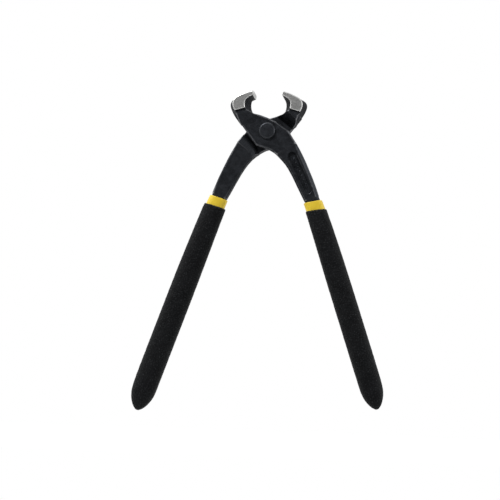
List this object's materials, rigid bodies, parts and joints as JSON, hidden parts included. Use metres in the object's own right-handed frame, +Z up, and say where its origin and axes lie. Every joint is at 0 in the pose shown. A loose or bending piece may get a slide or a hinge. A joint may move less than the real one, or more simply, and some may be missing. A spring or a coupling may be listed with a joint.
{
  "type": "end-cutting pincers",
  "caption": "End-cutting pincers with riveted lap joint, broad facing jaws ground to a cutting edge, and long textured vinyl grips over a contrasting inner sleeve.",
  "frame": {"origin": "on the pivot axis, at the centre of the flat face of the front rivet head", "axes": "+Z up the tool from the handles to the jaws, halfway between the two handles; +X to the right seen from the front; +Y from the front rivet head to the back, along the pivot axis"},
  "size_m": [0.1828, 0.025, 0.2342],
  "materials": {
    "black_steel": "drop-forged tool steel, black oxide, with the jaw faces ground bright",
    "rivet_steel": "black oxide with worn bright edges",
    "yellow_vinyl": "smooth satin dipped vinyl",
    "black_vinyl": "finely pebbled matt vinyl"
  },
  "bodies": {
    "front_half": {"front_lever": "black_steel", "pivot_rivet": "rivet_steel", "right_grip_liner": "yellow_vinyl", "right_grip": "black_vinyl"},
    "rear_half": {"rear_lever": "black_steel", "left_grip_liner": "yellow_vinyl", "left_grip": "black_vinyl"}
  },
  "joints": [
    {"name": "jaw_pivot", "type": "hinge", "parent": "front_half", "child": "rear_half", "pos_m": [0, 0.009, 0], "axis": [0, 1, 0], "range_deg": [-39.4, 7]}
  ]
}
